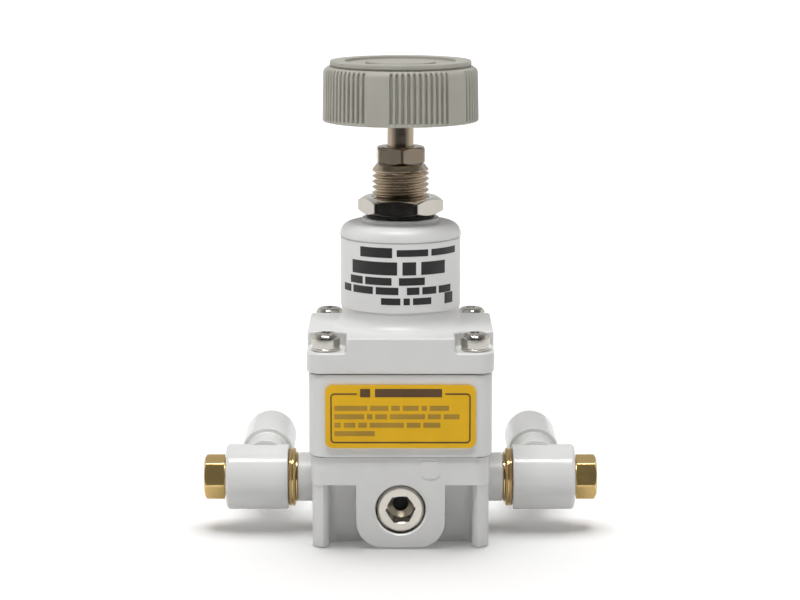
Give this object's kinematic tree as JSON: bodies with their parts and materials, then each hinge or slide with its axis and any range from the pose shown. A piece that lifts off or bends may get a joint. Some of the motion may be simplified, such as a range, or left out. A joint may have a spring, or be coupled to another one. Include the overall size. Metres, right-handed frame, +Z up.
{
  "type": "air pressure regulator",
  "caption": "Precision air pressure regulator: square white housing, round bonnet, grey knurled knob on a threaded neck, brass-bolted swivelling elbow fittings at both sides.",
  "frame": {"origin": "centre of the flat underside, at the middle of the square housing", "axes": "+Z up along the adjusting screw and knob, -Y out of the front face with the yellow plate, -X towards the inlet fitting and +X towards the outlet fitting"},
  "size_m": [0.0764, 0.0444, 0.0912],
  "materials": {
    "body_white": "satin white paint over die-cast metal",
    "label_white": "satin printed film",
    "plate_yellow": "satin yellow printed plate",
    "knob_grey": "fine moulded texture, slightly warm grey",
    "fitting_white": "moulded, semi-gloss",
    "collet_grey": "moulded",
    "nickel": "bright nickel plate, slightly warm",
    "steel": "zinc-bright steel",
    "spring_steel": "drawn wire",
    "brass": "turned and lightly polished",
    "aluminium": "turned",
    "rubber": "matte black"
  },
  "bodies": {
    "body": {"lower_body": "body_white", "middle_body": "body_white", "bonnet": "body_white", "bonnet_label": "label_white", "front_plate": "plate_yellow", "front_port_plug": "nickel", "rear_port_plug": "nickel", "bottom_cap": "brass", "cap_seal": "rubber", "valve_seat": "rubber", "valve_spring": "spring_steel", "main_diaphragm": "rubber", "nozzle_block": "aluminium", "nozzle": "brass", "pilot_diaphragm": "rubber", "range_spring": "spring_steel", "threaded_bushing": "nickel", "panel_nut": "nickel", "nut_gasket": "rubber", "cover_screw_1": "steel", "cover_screw_2": "steel", "cover_screw_3": "steel", "cover_screw_4": "steel", "banjo_bolt_left": "brass", "base_ring_left": "brass", "thread_washer_left": "brass", "banjo_bolt_right": "brass", "base_ring_right": "brass", "thread_washer_right": "brass"},
    "spring_seat": {"spring_seat": "steel"},
    "knob": {"knob": "knob_grey", "knob_cap": "knob_grey", "knob_screw": "steel", "adjusting_screw": "nickel"},
    "lock_nut": {"stem_lock_nut": "nickel"},
    "pilot": {"flapper": "steel", "pilot_plate": "aluminium", "spring_plate": "aluminium"},
    "diaphragm_stack": {"relief_plate": "aluminium", "diaphragm_plate": "aluminium", "diaphragm_nut": "steel"},
    "valve": {"valve_poppet": "brass"},
    "elbow_left": {"elbow_left": "fitting_white", "inner_o_ring_left": "rubber", "outer_o_ring_left": "rubber", "tube_seal_left": "rubber", "grab_ring_left": "steel"},
    "collet_left": {"release_collet_left": "collet_grey"},
    "elbow_right": {"elbow_right": "fitting_white", "inner_o_ring_right": "rubber", "outer_o_ring_right": "rubber", "tube_seal_right": "rubber", "grab_ring_right": "steel"},
    "collet_right": {"release_collet_right": "collet_grey"}
  },
  "joints": [
    {"name": "seat_travel", "type": "slide", "parent": "body", "child": "spring_seat", "axis": [0, 0, 1], "range_m": [-0.003, 0.0025], "deforming": ["range_spring"]},
    {"name": "knob_turn", "type": "hinge", "parent": "spring_seat", "child": "knob", "pos_m": [0, 0, 0.085], "axis": [0, 0, 1], "range_deg": [-1080, 900]},
    {"name": "lock_nut_turn", "type": "hinge", "parent": "body", "child": "lock_nut", "pos_m": [0, 0, 0.0732], "axis": [0, 0, 1], "range_deg": [0, 270]},
    {"name": "pilot_travel", "type": "slide", "parent": "body", "child": "pilot", "axis": [0, 0, 1], "range_m": [-0.0003, 0.0003], "stiffness_N_per_m": 500, "deforming": ["pilot_diaphragm"]},
    {"name": "diaphragm_travel", "type": "slide", "parent": "body", "child": "diaphragm_stack", "axis": [0, 0, 1], "range_m": [-0.0008, 0], "stiffness_N_per_m": 500, "deforming": ["main_diaphragm"]},
    {"name": "valve_travel", "type": "slide", "parent": "body", "child": "valve", "axis": [0, 0, 1], "range_m": [-0.0008, 0], "stiffness_N_per_m": 300, "deforming": ["valve_spring"]},
    {"name": "elbow_left_swivel", "type": "hinge", "parent": "body", "child": "elbow_left", "pos_m": [-0.0279, 0, 0.0097], "axis": [1, 0, 0], "continuous": true},
    {"name": "collet_left_press", "type": "slide", "parent": "elbow_left", "child": "collet_left", "axis": [0, -1, 0], "range_m": [0, 0.001], "stiffness_N_per_m": 600},
    {"name": "elbow_right_swivel", "type": "hinge", "parent": "body", "child": "elbow_right", "pos_m": [0.0279, 0, 0.0097], "axis": [1, 0, 0], "continuous": true},
    {"name": "collet_right_press", "type": "slide", "parent": "elbow_right", "child": "collet_right", "axis": [0, -1, 0], "range_m": [0, 0.001], "stiffness_N_per_m": 600}
  ],
  "couplings": [
    {"joint": "knob_turn", "follows": "seat_travel", "rad_per_m": 6283.2},
    {"joint": "valve_travel", "follows": "diaphragm_travel", "ratio": 1}
  ]
}
